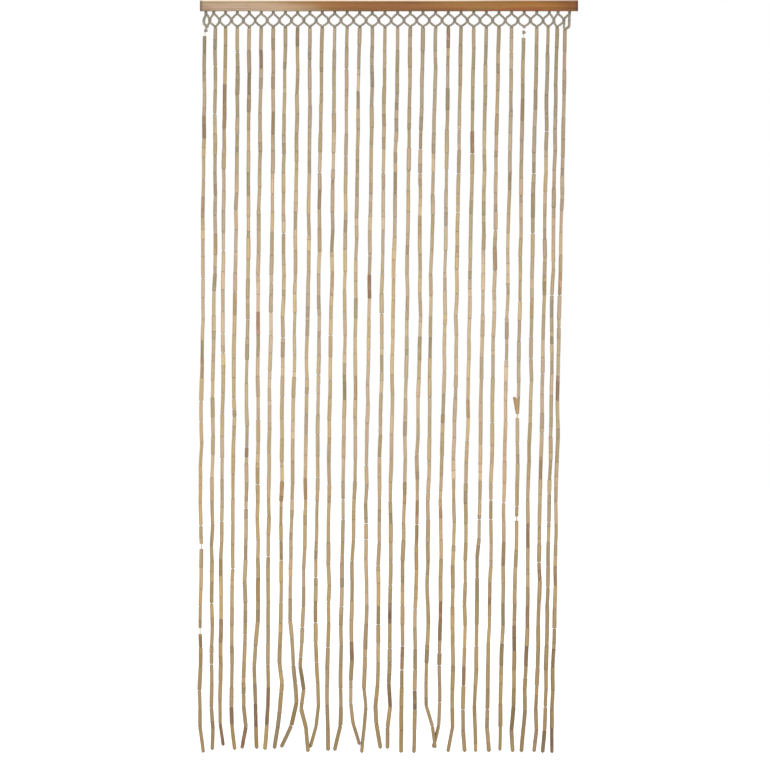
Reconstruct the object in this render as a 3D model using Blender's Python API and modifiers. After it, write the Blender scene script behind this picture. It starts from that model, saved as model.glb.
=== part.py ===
"""Door curtain: strings of bamboo tube beads that hang from a wooden head rail by a net of crossing cords.

Metres, +Z up. The origin is the middle of the rail's back face, which lies in the plane y = 0, and the front
faces -Y. The rail hangs level, and everything below it hangs from the holes in its underside.
"""

import math

import bmesh
import bpy
from mathutils import Matrix

# Head rail, a planed batten
RAIL_LENGTH = 0.900
RAIL_DEPTH = 0.018
RAIL_HEIGHT = 0.024
RAIL_EDGE = 0.0015
UNDERSIDE = -RAIL_HEIGHT / 2
HANG_PLANE = -RAIL_DEPTH / 2

# Holes in the underside, one for each string. The spacing widens a little from left to right and wanders.
STRING_COUNT = 31
MIDDLE_HOLE = -0.0096
HOLE_PITCH = 0.02955
PITCH_GROWTH = 0.000035
PITCH_WANDER = 0.0028
END_HOLES = {0: -0.436, 29: 0.4025, 30: 0.430}
HOLE_RADIUS = 0.00405
HOLE_DEPTH = 0.0053
PLUG_SIDES = 6

# Heading: two cords come out of each hole side by side as a stem, part, and are knotted to the neighbours'
# cords halfway. Drops are measured down from the rail's underside.
CORD_HALF_WIDTH = 0.0020
CORD_SHIFT = 0.0003
STEM_HALF_WIDTH = 0.0037
STEM_HALF_DEPTH = 0.0028
STEM_SEAT = 0.0050
STEM_DROP = 0.0090
CORD_START = 0.0012
CORD_START_DROP = 0.0065
KNOT_DROP = 0.0233
KNOT_REACH = 0.0009
KNOT_GRIP = 0.0018
KNOT_PROFILE = ((0.0042, 0.0017), (0.0025, 0.0038), (0.0, 0.0029), (-0.0025, 0.0038), (-0.0042, 0.0017))

# The cords' bows between stem and knot, and between knot and string: the share of the way across, and the
# share of the way down.
UPPER_BOW = ((0.42, 0.42), (0.84, 0.80))
LOWER_BOW = ((0.35, 0.45),)

# The outermost cords have no neighbour. They bow outwards and come back: sideways, and the drop.
LEFT_EDGE_CORD = ((-0.0035, 0.013), (-0.0050, 0.021), (-0.0040, 0.031))
RIGHT_EDGE_CORD = ((0.0022, 0.013), (0.0018, 0.024), (0.0006, 0.035))
EDGE_CORD_SHIFT = 0.0007

# Strings: each starts in the root knot that joins its two cords, and hangs as a run of tube beads.
# A profile's rows are the height and the half width.
ROOT_DROP = 0.0380
LOW_ROOTS = {30: 0.0045}
ROOT_PROFILE = ((0.0030, 0.0022), (0.0, 0.0038), (-0.0026, 0.0030))
BEAD_START = 0.0036
BEAD_HALF_WIDTH = 0.00375
BEADS_PER_STRING = 35
HEM_DROP = 1.7615
DRAWN_IN = {0: 0.002, 1: 0.004, 28: -0.003, 29: -0.002, 30: -0.011}

# Two strings show bare string with a second knot above their first bead: how far that runs down and aside.
BARE_NECKS = {0: (0.0230, -0.0050), 26: (0.0270, -0.0015)}
NECK_PROFILE = ((0.0044, 0.0011), (0.0016, 0.0027), (-0.0016, 0.0027), (-0.0044, 0.0011))
NECK_HALF_WIDTH = 0.0011
NECK_END = 0.0004

# The strings lean to the left on their way down, the right-hand ones more. Their bends fall on joints between
# beads, counted up from the tip. Sway and unevenness are waves, whose phase grows with the string and the joint.
LEAN_AT_LEFT = -0.0070
LEAN_GROWTH = -0.00037
PLAIN_JOINTS = (28, 20, 12)
HEM_JOINTS = (6, 4, 3, 2, 1, 0)
SWAY = 0.0014
SWAY_PHASE = (2.3, 0.9)
JOINT_UNEVEN = 0.10
UNEVEN_PHASE = (2.1, 1.7)

# The hem, left to right, in millimetres: how far each string's joints stand off its straight lean, counted in
# beads up from the tip, then how high its tip ends above the lowest one, and how far forward it swings.
HEM_COLUMNS = ("joint_6", "joint_4", "joint_3", "joint_2", "joint_1", "joint_0", "tip_up", "forward")
HEM = (
    (1, 1, 0, 0, 0, 8, 2, 0),
    (2, 2, 1, 0, 3, 5, 7, 1),
    (1, 1, 1, 0, 0, 7, 17, -1),
    (0, 2, 2, 1, 0, 7, 7, 0),
    (2, 1, 0, 1, 5, -2, 10, 2),
    (4, -3, -1, 1, 3, 4, 10, -1),
    (2, 1, 1, 0, -1, -4, 7, 0),
    (2, 0, 8, 4, -1, -9, 10, 1),
    (-4, 4, 9, 14, 2, -20, 12, -2),
    (-2, -7, 2, -3, 8, 13, 2, 3),
    (-1, 1, 4, 6, 2, -9, 12, -4),
    (1, 0, 0, 0, 1, 3, 5, 1),
    (0, 3, 5, 5, 5, -9, 5, 0),
    (-2, -1, -3, -4, 3, 18, 19, 4),
    (3, 0, -1, 4, 0, -4, 0, -4),
    (1, 2, 1, -3, 0, 10, 10, 0),
    (1, 0, -1, 4, -1, -2, 10, 2),
    (0, 1, 1, 1, 1, 1, 0, -1),
    (1, 1, 1, 2, 2, 2, 0, 0),
    (2, -2, -2, -1, 14, 22, 12, 4.3),
    (3, 2, 3, 4, 2, -10, 12, -4.3),
    (2, 2, 2, 2, 2, -5, 2, 1),
    (1, 0, 0, -1, -1, 4, 2, 0),
    (0, 0, -1, -3, -1, 1, 2, -2),
    (0, -1, -1, -1, -1, 3, 2, 1),
    (1, 0, 0, 0, 0, 0, 5, 0),
    (1, 2, 3, 3, -2, 2, 2, -1),
    (1, 0, -1, 2, -2, -7, 2, 2),
    (0, 0, 0, -1, 3, -3, 2, 0),
    (1, 1, 2, 0, -1, -4, 0, -1),
    (1, 0, 2, 1, -1, 0, 0, 1),
)
MILLIMETRE = 0.001
WELD_DISTANCE = 0.00001


def clear_scene():
    for scene_object in list(bpy.data.objects):
        bpy.data.objects.remove(scene_object, do_unlink=True)


def new_collection(name):
    collection = bpy.data.collections.new(name)
    bpy.context.scene.collection.children.link(collection)
    return collection


def new_material(name, colour, roughness):
    material = bpy.data.materials.new(name)
    material.use_nodes = True
    shader = material.node_tree.nodes["Principled BSDF"]
    shader.inputs["Base Color"].default_value = (*colour, 1.0)
    shader.inputs["Roughness"].default_value = roughness
    shader.inputs["Metallic"].default_value = 0.0
    return material


def hole_place(index):
    """Returns x of a string's hole in the rail."""
    step = index - STRING_COUNT // 2
    wander = PITCH_WANDER * math.sin(math.tau * step / STRING_COUNT)
    return END_HOLES.get(index, MIDDLE_HOLE + HOLE_PITCH * step + PITCH_GROWTH * step * step + wander)


def root_place(index):
    """Returns x and z of the knot where a string's two cords meet."""
    x = hole_place(index) + DRAWN_IN.get(index, 0.0)
    return x, UNDERSIDE - ROOT_DROP - LOW_ROOTS.get(index, 0.0)


def knot_place(index):
    """Returns x and z of the knot between a string and its right-hand neighbour."""
    return (hole_place(index) + hole_place(index + 1)) / 2, UNDERSIDE - KNOT_DROP


def wave(phase, index, joint):
    return math.sin(phase[0] * index + phase[1] * joint)


def upright(x, z, profile):
    """Returns an upright route's points, from a profile's heights and half widths."""
    return [(x, HANG_PLANE, z + up, half_width) for up, half_width in profile]


def string_head(index):
    """Returns a string's points from its root knot to the top of its first bead."""
    x_root, z_root = root_place(index)
    head = upright(x_root, z_root, ROOT_PROFILE)
    drop, aside = BARE_NECKS.get(index, (BEAD_START, 0.0))
    x_beads, z_beads = x_root + aside, z_root - drop
    if index in BARE_NECKS:
        head += upright((x_root + x_beads) / 2, (z_root + z_beads) / 2, NECK_PROFILE)
        head.append((x_beads, HANG_PLANE, z_beads + NECK_END, NECK_HALF_WIDTH))
    return head + [(x_beads, HANG_PLANE, z_beads, BEAD_HALF_WIDTH)]


def string_route(index):
    """Returns one string's points from its root knot to its tip, as x, y, z and half width."""
    hem = dict(zip(HEM_COLUMNS, HEM[index]))
    route = string_head(index)
    x_beads, _, z_beads, _ = route[-1]
    z_tip = UNDERSIDE - HEM_DROP + hem["tip_up"] * MILLIMETRE
    bead = (z_beads - z_tip) / BEADS_PER_STRING
    lean = LEAN_AT_LEFT + LEAN_GROWTH * index
    for joint in PLAIN_JOINTS + HEM_JOINTS:
        uneven = JOINT_UNEVEN * wave(UNEVEN_PHASE, index, joint) if joint else 0.0
        z = z_tip + bead * (joint + uneven)
        if joint in PLAIN_JOINTS:
            aside = SWAY * wave(SWAY_PHASE, index, joint)
        else:
            aside = hem[f"joint_{joint}"] * MILLIMETRE
        swing = hem["forward"] * MILLIMETRE * max(0.0, 1.0 - joint / PLAIN_JOINTS[-1])
        route.append((x_beads + lean * (z_beads - z) + aside, HANG_PLANE - swing, z, BEAD_HALF_WIDTH))
    return route


def bowed(start, end, bow):
    """Returns the points between two ends of a cord, at the bow's shares across and down."""
    (x_start, z_start), (x_end, z_end) = start, end
    return [(x_start + across * (x_end - x_start), z_start + down * (z_end - z_start)) for across, down in bow]


def cord_start(index, side):
    """Returns where one of a stem's two cords leaves it, as x and z."""
    return hole_place(index) + side * CORD_START, UNDERSIDE - CORD_START_DROP


def cord_routes(side):
    """Returns the cords that lean to one side, 1 right or -1 left, from stem to knot and from knot to root."""
    y = HANG_PLANE - side * CORD_SHIFT
    flat_routes = []
    for left in range(STRING_COUNT - 1):
        index, neighbour = (left, left + 1) if side > 0 else (left + 1, left)
        x_knot, z_knot = knot_place(left)
        start = cord_start(index, side)
        above = x_knot - side * KNOT_REACH, z_knot + KNOT_GRIP
        below = x_knot + side * KNOT_REACH, z_knot - KNOT_GRIP
        root = root_place(neighbour)
        flat_routes.append([start, *bowed(start, above, UPPER_BOW), above])
        flat_routes.append([below, *bowed(below, root, LOWER_BOW), root])
    return [[(x, y, z, CORD_HALF_WIDTH) for x, z in route] for route in flat_routes]


def edge_cord_route(index, side, turns):
    """Returns an outermost cord, which bows out from its stem and comes back to the same string's root."""
    x_hole = hole_place(index)
    flat_route = [cord_start(index, side), *((x_hole + x, UNDERSIDE - drop) for x, drop in turns)]
    y = HANG_PLANE + side * EDGE_CORD_SHIFT
    return [(x, y, z, CORD_HALF_WIDTH) for x, z in [*flat_route, root_place(index)]]


def knot_routes():
    """Returns the ridged knots as short upright routes that swell twice."""
    return [upright(*knot_place(index), KNOT_PROFILE) for index in range(STRING_COUNT - 1)]


def swept(name, routes, collection):
    """Makes one mesh object of closed four-sided strands, one along each route, as wide as its points say."""
    curve = bpy.data.curves.new(name, "CURVE")
    curve.dimensions = "3D"
    curve.bevel_depth = 1.0
    curve.bevel_resolution = 0
    curve.use_fill_caps = True
    for route in routes:
        spline = curve.splines.new("POLY")
        spline.points.add(len(route) - 1)
        for point, (x, y, z, half_width) in zip(spline.points, route):
            point.co = (x, y, z, 1.0)
            point.radius = half_width
    guide = bpy.data.objects.new(name + "_route", curve)
    bpy.context.scene.collection.objects.link(guide)
    evaluated = guide.evaluated_get(bpy.context.evaluated_depsgraph_get())
    mesh = bpy.data.meshes.new_from_object(evaluated)
    mesh.name = name
    bpy.data.objects.remove(guide, do_unlink=True)
    form = bmesh.new()
    form.from_mesh(mesh)
    bmesh.ops.remove_doubles(form, verts=form.verts, dist=WELD_DISTANCE)
    bmesh.ops.recalc_face_normals(form, faces=form.faces)
    form.to_mesh(mesh)
    form.free()
    return linked(name, mesh, collection)


def linked(name, mesh, collection):
    scene_object = bpy.data.objects.new(name, mesh)
    collection.objects.link(scene_object)
    return scene_object


def round_plugs(name, half_width, half_depth, top, bottom, collection):
    """Makes one mesh object of upright plugs, one at each hole."""
    form = bmesh.new()
    for index in range(STRING_COUNT):
        middle = Matrix.Translation((hole_place(index), HANG_PLANE, (top + bottom) / 2))
        shape = middle @ Matrix.Diagonal((half_width, half_depth, top - bottom, 1.0))
        bmesh.ops.create_cone(
            form, cap_ends=True, segments=PLUG_SIDES, radius1=1.0, radius2=1.0, depth=1.0, matrix=shape
        )
    mesh = bpy.data.meshes.new(name)
    form.to_mesh(mesh)
    form.free()
    return linked(name, mesh, collection)


def hidden_tool(scene_object):
    scene_object.hide_render = True
    scene_object.display_type = "WIRE"
    return scene_object


def boolean(target, tool, operation):
    modifier = target.modifiers.new(tool.name, "BOOLEAN")
    modifier.solver = "EXACT"
    modifier.operation = operation
    modifier.object = hidden_tool(tool)


def make_rail(parts, tools):
    bpy.ops.mesh.primitive_cube_add(size=1.0, location=(0.0, HANG_PLANE, 0.0))
    rail = bpy.context.active_object
    rail.name = rail.data.name = "rail"
    rail.scale = (RAIL_LENGTH, RAIL_DEPTH, RAIL_HEIGHT)
    bpy.ops.object.transform_apply(location=False, rotation=False, scale=True)
    rail.users_collection[0].objects.unlink(rail)
    parts.objects.link(rail)
    eased = rail.modifiers.new("eased_edges", "BEVEL")
    eased.width = RAIL_EDGE
    eased.segments = 2
    holes = round_plugs(
        "rail_holes", HOLE_RADIUS, HOLE_RADIUS, UNDERSIDE + HOLE_DEPTH, UNDERSIDE - HOLE_DEPTH, tools
    )
    boolean(rail, holes, "DIFFERENCE")
    rail.data.materials.append(new_material("rail_wood", (0.36, 0.18, 0.07), 0.45))


def make_heading_and_strings(parts, tools):
    routes = [string_route(index) for index in range(STRING_COUNT)]
    strings = swept("heading_and_strings", routes, parts)
    boolean(strings, swept("cords_leaning_right", cord_routes(1), tools), "UNION")
    boolean(strings, swept("cords_leaning_left", cord_routes(-1), tools), "UNION")
    edge_cords = [
        edge_cord_route(0, -1, LEFT_EDGE_CORD),
        edge_cord_route(STRING_COUNT - 1, 1, RIGHT_EDGE_CORD),
    ]
    boolean(strings, swept("edge_cords", edge_cords, tools), "UNION")
    boolean(strings, swept("knots", knot_routes(), tools), "UNION")
    stems = round_plugs(
        "stems", STEM_HALF_WIDTH, STEM_HALF_DEPTH, UNDERSIDE + STEM_SEAT, UNDERSIDE - STEM_DROP, tools
    )
    boolean(strings, stems, "UNION")
    strings.data.materials.append(new_material("bamboo", (0.45, 0.33, 0.20), 0.5))


def main():
    clear_scene()
    parts = new_collection("door_curtain")
    tools = new_collection("door_curtain_tools")
    make_rail(parts, tools)
    make_heading_and_strings(parts, tools)


main()
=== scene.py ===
import math
import random

import bpy
from mathutils import Matrix, Vector


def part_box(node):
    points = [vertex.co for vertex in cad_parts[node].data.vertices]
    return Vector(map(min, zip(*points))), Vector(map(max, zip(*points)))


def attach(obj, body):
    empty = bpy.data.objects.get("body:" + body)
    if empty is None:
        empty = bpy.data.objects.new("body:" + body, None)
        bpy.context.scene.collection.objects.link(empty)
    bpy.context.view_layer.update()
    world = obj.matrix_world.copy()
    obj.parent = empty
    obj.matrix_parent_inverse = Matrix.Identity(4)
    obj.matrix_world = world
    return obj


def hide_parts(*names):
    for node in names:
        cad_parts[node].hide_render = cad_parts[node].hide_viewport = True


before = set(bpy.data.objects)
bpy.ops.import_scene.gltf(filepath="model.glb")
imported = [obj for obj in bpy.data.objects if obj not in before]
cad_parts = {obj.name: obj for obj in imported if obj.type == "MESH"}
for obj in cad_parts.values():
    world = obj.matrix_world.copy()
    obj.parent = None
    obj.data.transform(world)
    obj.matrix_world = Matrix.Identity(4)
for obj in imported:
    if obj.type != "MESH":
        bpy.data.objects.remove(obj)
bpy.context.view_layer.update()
print("frame loaded")

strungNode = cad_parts["heading_and_strings"]
railLow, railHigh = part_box("rail")
underside = railLow.z
hangPlane = (railLow.y + railHigh.y) / 2
scene = bpy.context.scene


# Places read from the frame: the solid's corners say where its holes, knots and strings are.

reading = {
    "socketTop": 0.0045,        # the stems' flat tops stand this far or more above the underside
    "frontCorner": 0.0035,      # knots, roots and first beads have a corner this far in front
    # drops below the rail between which those corners lie
    "knots": ((0.018, 0.028),),
    "roots": ((0.036, 0.0405), (0.0424, 0.0428)),
    "firstBeads": ((0.0414, 0.0420), (0.0458, 0.0464), (0.0600, 0.0670)),
    "stringsBelow": 0.070,      # the strings are apart from here down
    "holeApart": 0.006,         # corners of one hole, knot or ring lie within these steps
    "knotApart": 0.004,
    "ringApart": 0.010,
    "ringCorners": 4,
}


# A corner's place, rounded so that corners in one place are the same
def placeKey(corner):
    return tuple(round(value, 5) for value in corner.co)


def groupedBy(places, axis, apart):
    groups = []
    for place in sorted(places, key=lambda p: p[axis]):
        if groups and abs(place[axis] - groups[-1][-1][axis]) < apart:
            groups[-1].append(place)
        else:
            groups.append([place])
    return groups


def middleOf(places):
    return sum(places, Vector()) / len(places)


def cornersAt(corners, drops):
    return [c for c in corners if any(top < underside - c.z < bottom for top, bottom in drops)]


# Walks over the solid's faces, so that each string's corners come together
def separateStrings(node, below):
    keyOf = [placeKey(corner) for corner in node.data.vertices]
    touching = {}
    for face in node.data.polygons:
        keys = [keyOf[index] for index in face.vertices if keyOf[index][2] < below]
        for key in keys:
            touching.setdefault(key, set()).update(keys)
    left = set(touching)
    strings = []
    while left:
        waiting = [left.pop()]
        found = []
        while waiting:
            key = waiting.pop()
            found.append(Vector(key))
            fresh = touching[key] & left
            left -= fresh
            waiting += fresh
        strings.append(found)
    return sorted(strings, key=lambda corners: max(corners, key=lambda c: c.z).x)


def readPlaces():
    corners = [Vector(key) for key in sorted({placeKey(corner) for corner in strungNode.data.vertices})]
    tops = [c for c in corners if c.z > underside + reading["socketTop"]]
    holes = [middleOf(group).x for group in groupedBy(tops, 0, reading["holeApart"])]
    front = [c for c in corners if c.y < hangPlane - reading["frontCorner"]]
    knotCorners = cornersAt(front, reading["knots"])
    knots = [middleOf(group) for group in groupedBy(knotCorners, 0, reading["knotApart"])]
    roots = sorted(cornersAt(front, reading["roots"]), key=lambda c: c.x)
    firsts = sorted(cornersAt(front, reading["firstBeads"]), key=lambda c: c.x)
    for place in knots + roots + firsts:
        place.y = hangPlane
    strings = separateStrings(strungNode, underside - reading["stringsBelow"])
    lines = []
    for first, string in zip(firsts, strings):
        rings = groupedBy(string, 2, reading["ringApart"])
        whole = [middleOf(ring) for ring in reversed(rings) if len(ring) == reading["ringCorners"]]
        lines.append([first] + whole)
    return holes, knots, roots, lines


holePlaces, knotPlaces, rootPlaces, stringLines = readPlaces()
stringCount = len(stringLines)
print("places read:", len(holePlaces), "holes,", len(knotPlaces), "knots,", stringCount, "strings")


# Building blocks for materials.

def screenColour(red, green, blue):
    shares = [value / 255.0 for value in (red, green, blue)]
    linear = [s / 12.92 if s <= 0.04045 else ((s + 0.055) / 1.055) ** 2.4 for s in shares]
    return (*linear, 1.0)


# A ramp's stops, their colours given as on a screen
def screenStops(stops):
    return [(place, screenColour(*colour)) for place, colour in stops]


def newMaterial(name):
    material = bpy.data.materials.new(name)
    material.use_nodes = True
    return material, material.node_tree, material.node_tree.nodes["Principled BSDF"]


def feed(tree, socket, value):
    if isinstance(value, bpy.types.NodeSocket):
        tree.links.new(value, socket)
    else:
        socket.default_value = value


# A node with a value or another node's output for each socket named in feeds, and its settings
def newNode(tree, kind, feeds, **settings):
    node = tree.nodes.new(kind)
    for name, value in settings.items():
        setattr(node, name, value)
    for name, value in feeds.items():
        feed(tree, node.inputs[name], value)
    return node


def mathNode(tree, operation, *values):
    return newNode(tree, "ShaderNodeMath", dict(enumerate(values)), operation=operation).outputs[0]


def times(tree, first, second):
    return mathNode(tree, "MULTIPLY", first, second)


def minus(tree, first, second):
    return mathNode(tree, "SUBTRACT", first, second)


def objectPlace(tree):
    return tree.nodes.new("ShaderNodeTexCoord").outputs["Object"]


def attributePlace(tree, name):
    return newNode(tree, "ShaderNodeAttribute", {}, attribute_name=name).outputs["Vector"]


# The three numbers of a vector
def partsOf(tree, vector):
    return tuple(newNode(tree, "ShaderNodeSeparateXYZ", {0: vector}).outputs)


# Noise with a number of cells for a metre along each axis
def noise(tree, fineness, detail=3.0, roughness=0.55, shift=None):
    feeds = {"Scale": fineness, "Vector": objectPlace(tree)}
    place = newNode(tree, "ShaderNodeMapping", feeds).outputs[0]
    if shift is not None:
        place = newNode(tree, "ShaderNodeVectorMath", {0: place, 1: shift}, operation="ADD").outputs[0]
    feeds = {"Scale": 1.0, "Detail": detail, "Roughness": roughness, "Vector": place}
    return newNode(tree, "ShaderNodeTexNoise", feeds).outputs["Fac"]


def mapRange(tree, value, low, high, newLow=0.0, newHigh=1.0, curve="SMOOTHSTEP"):
    feeds = {"Value": value, "From Min": low, "From Max": high, "To Min": newLow, "To Max": newHigh}
    return newNode(tree, "ShaderNodeMapRange", feeds, interpolation_type=curve).outputs["Result"]


def colourRamp(tree, value, stops):
    node = newNode(tree, "ShaderNodeValToRGB", {"Fac": value})
    elements = node.color_ramp.elements
    while len(elements) < len(stops):
        elements.new(0.5)
    for element, (position, colour) in zip(elements, stops):
        element.position = position
        element.color = colour
    return node.outputs["Color"]


def mixColour(tree, share, first, second, blend="MIX"):
    feeds = {"Factor": share, 6: first, 7: second}
    return newNode(tree, "ShaderNodeMix", feeds, data_type="RGBA", blend_type=blend).outputs[2]


def brighten(tree, colour, factor):
    feeds = {0: colour, "Scale": factor}
    return newNode(tree, "ShaderNodeVectorMath", feeds, operation="SCALE").outputs[0]


def finishShader(tree, shader, colour, roughness, relief, strength, distance):
    feed(tree, shader.inputs["Base Color"], colour)
    feed(tree, shader.inputs["Roughness"], roughness)
    feeds = {"Height": relief, "Strength": strength, "Distance": distance}
    feed(tree, shader.inputs["Normal"], newNode(tree, "ShaderNodeBump", feeds).outputs["Normal"])


# Camera, surround and light.

view = {
    "standsOff": 12.0,      # in front of the strings
    "frameWidth": 1.8334,   # what the square frame takes in at the strings
    "middleX": -0.0095,
    "middleZ": -0.9035,
    "sensor": 36.0,
    "seesTo": 200.0,
}

studio = {
    "surround": 1.0,
    "floorLevel": -1.988,
    "floorSize": 80.0,
    # it glows a little, so that it runs into the white surround
    "floorLook": {
        "Base Color": (0.85, 0.85, 0.84, 1.0),
        "Roughness": 0.9,
        "Emission Color": (1.0, 1.0, 1.0, 1.0),
        "Emission Strength": 0.32,
    },
    # each light's name, place, aim, size and power
    "lights": (
        ("left light", (-2.8, -4.2, 1.5), (0.0, 0.0, -0.8), 2.4, 80.0),
        ("right light", (2.8, -4.2, 1.5), (0.0, 0.0, -0.8), 2.4, 68.0),
        ("top light", (0.2, -1.1, 2.4), (0.0, 0.0, 0.0), 1.3, 26.0),
    ),
}


def addObject(name, data):
    made = bpy.data.objects.new(name, data)
    scene.collection.objects.link(made)
    return made


def makeCamera():
    lens = bpy.data.cameras.new("camera")
    lens.sensor_width = view["sensor"]
    lens.lens = view["sensor"] * view["standsOff"] / view["frameWidth"]
    lens.clip_end = view["seesTo"]
    camera = addObject("camera", lens)
    camera.location = (view["middleX"], hangPlane - view["standsOff"], view["middleZ"])
    camera.rotation_euler = (math.radians(90.0), 0.0, 0.0)
    scene.camera = camera


def areaLight(name, place, aim, size, power):
    lamp = bpy.data.lights.new(name, "AREA")
    lamp.size = size
    lamp.energy = power
    light = addObject(name, lamp)
    light.location = place
    light.rotation_euler = (Vector(aim) - Vector(place)).to_track_quat("-Z", "Y").to_euler()


def makeStudio():
    world = bpy.data.worlds.new("white surround")
    world.use_nodes = True
    background = world.node_tree.nodes["Background"]
    background.inputs["Color"].default_value = (1.0, 1.0, 1.0, 1.0)
    background.inputs["Strength"].default_value = studio["surround"]
    scene.world = world
    for light in studio["lights"]:
        areaLight(*light)
    bpy.ops.mesh.primitive_plane_add(size=studio["floorSize"], location=(0.0, 0.0, studio["floorLevel"]))
    floor = bpy.context.active_object
    floor.name = "floor"
    pale, _, shader = newMaterial("pale floor")
    for name, value in studio["floorLook"].items():
        shader.inputs[name].default_value = value
    floor.data.materials.append(pale)
    scene.view_settings.view_transform = "Standard"
    scene.view_settings.look = "None"


makeCamera()
makeStudio()
print("camera and studio made")


# Building blocks for shapes.

def newForm():
    return {"points": [], "faces": [], "slots": []}


def alongFrames(line):
    frames = []
    side = None
    for k, point in enumerate(line):
        ahead = (line[min(k + 1, len(line) - 1)] - line[max(k - 1, 0)]).normalized()
        side = ahead.orthogonal() if side is None else side - ahead * side.dot(ahead)
        side = side.normalized()
        frames.append((point, side, ahead.cross(side)))
    return frames


def inPlane(x, z):
    return Vector((x, hangPlane, z))


def around(side, across, turn):
    return side * math.cos(turn) + across * math.sin(turn)


# Faces between rings of corners that follow each other, closed at both ends
def addRingFaces(form, first, rings, sides):
    for ring in range(rings - 1):
        for k in range(sides):
            a = first + ring * sides + k
            b = first + ring * sides + (k + 1) % sides
            form["faces"].append((a, b, b + sides, a + sides))
    last = first + (rings - 1) * sides
    form["faces"].append(tuple(first + k for k in reversed(range(sides))))
    form["faces"].append(tuple(last + k for k in range(sides)))


def addTube(form, line, radii, sides):
    first = len(form["points"])
    turns = [math.tau * k / sides for k in range(sides)]
    for (point, side, across), radius in zip(alongFrames(line), radii):
        form["points"] += [point + around(side, across, turn) * radius for turn in turns]
    addRingFaces(form, first, len(line), sides)


plyPress = {"inward": 0.95, "wider": 1.07}


# A cord of twisted plies that press on each other: thickness is a number for each point of the line
def addPliedCord(form, line, thickness, turnLength, plies, sides, started=0.0):
    run = 0.0
    packed = math.sin(math.pi / plies)
    plyShare = 0.5 * packed / (1.0 + packed)
    twisted = [[] for ply in range(plies)]
    for k, (point, side, across) in enumerate(alongFrames(line)):
        run += (line[k] - line[k - 1]).length if k else 0.0
        for ply in range(plies):
            turn = started + math.tau * (run / turnLength + ply / plies)
            aside = around(side, across, turn) * thickness[k] * (0.5 - plyShare)
            twisted[ply].append(point + aside * plyPress["inward"])
    for ply in twisted:
        addTube(form, ply, [whole * plyShare * plyPress["wider"] for whole in thickness], sides)


# A smooth line through the points, cut into steps of about one length
def smoothLine(points, step):
    ends = [points[0] * 2 - points[1], *points, points[-1] * 2 - points[-2]]
    line = []
    for a, b, c, d in zip(ends, ends[1:], ends[2:], ends[3:]):
        count = max(2, round((c - b).length / step))
        for k in range(count):
            t = k / count
            curved = (2 * a - 5 * b + 4 * c - d) * t ** 2 + (3 * b - a - 3 * c + d) * t ** 3
            line.append((2 * b + (c - a) * t + curved) * 0.5)
    line.append(points[-1])
    return line


# The share of the way from low to high, held between 0 and 1
def eased(value, low, high):
    return min(1.0, max(0.0, (value - low) / (high - low)))


def mixed(first, last, share):
    return first + (last - first) * share


def newObject(name, form):
    mesh = bpy.data.meshes.new(name)
    mesh.from_pydata(form["points"], [], form["faces"])
    return addObject(name, mesh)


def smooth(mesh, sharpFrom):
    mesh.shade_smooth()
    mesh.set_sharp_from_angle(angle=math.radians(sharpFrom))


def makePiece(name, form, materials, standsFor, sharpFrom):
    piece = newObject(name, form)
    for material in materials:
        piece.data.materials.append(material)
    if form["slots"]:
        piece.data.polygons.foreach_set("material_index", form["slots"])
    smooth(piece.data, sharpFrom)
    piece.data.update()
    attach(piece, "root")
    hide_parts(standsFor)
    return piece


# Head rail.

headRail = {
    "reachesLower": 0.0014,      # the planed face is a little taller than the plain solid
    "frontTopRound": 0.0024,
    "otherRounds": 0.0012,
    "roundSteps": 5,
    "endRound": 0.0008,
    "lengthStep": 0.012,
    "endRoundPart": 0.3,         # where the end's round is halfway
    "waviness": 0.00012,
    "waves": (9.0, 23.0, 7.0, 31.0),     # radians for each metre, two forward and two upward
    "socketRadius": 0.00405,
    "socketDepth": 0.0053,
    "socketSides": 24,
    "sharpFrom": 32.0,
    "seed": 5,
}

railWood = {
    # shares of the length from the left, and the colour there: the wood's own tone from pale to brown,
    # with a painted reflection of the light that makes the left part paler
    "alongTheRail": (
        (0.00, (140, 114, 93)),
        (0.03, (150, 126, 105)),
        (0.12, (155, 131, 109)),
        (0.19, (152, 126, 101)),
        (0.26, (139, 109, 79)),
        (0.32, (128, 88, 50)),
        (0.38, (120, 77, 38)),
        (0.58, (120, 77, 38)),
        (0.69, (128, 88, 44)),
        (0.90, (128, 83, 32)),
        (0.97, (107, 64, 22)),
    ),
    "browning": 2.4,             # shares that the brown starts farther left for each metre up
    "cloudShift": 0.09,
    "edgeHighlight": screenColour(214, 188, 160),    # a painted highlight along the rounded top edge
    "stripFades": (0.62, 0.88),                  # shares of the length between which it fades out
    "stripBelowTop": (0.0032, 0.0016),
    "upperBand": (0.77, 0.86, 0.72, 1.0),        # multiplies the colour in a band above the middle
    "upperBandAt": 0.0064,
    "upperBandHalf": (0.0034, 0.0014),           # half its height, faint and full
    "lowerBand": (0.76, 0.84, 0.80, 1.0),
    "lowerBandFrom": (-0.0034, -0.0066),
    "deepBrown": screenColour(98, 56, 26),
    "reddish": screenColour(122, 60, 32),
    "endDark": (0.0004, 0.0100),  # how far in from each end the colour is darkest, and as the rest: painted shade at the rounded ends, with the end faces' darker end grain
    "endShade": 0.45,
    "specular": 0.25,
    "roughness": (0.48, 0.62),
}


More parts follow.
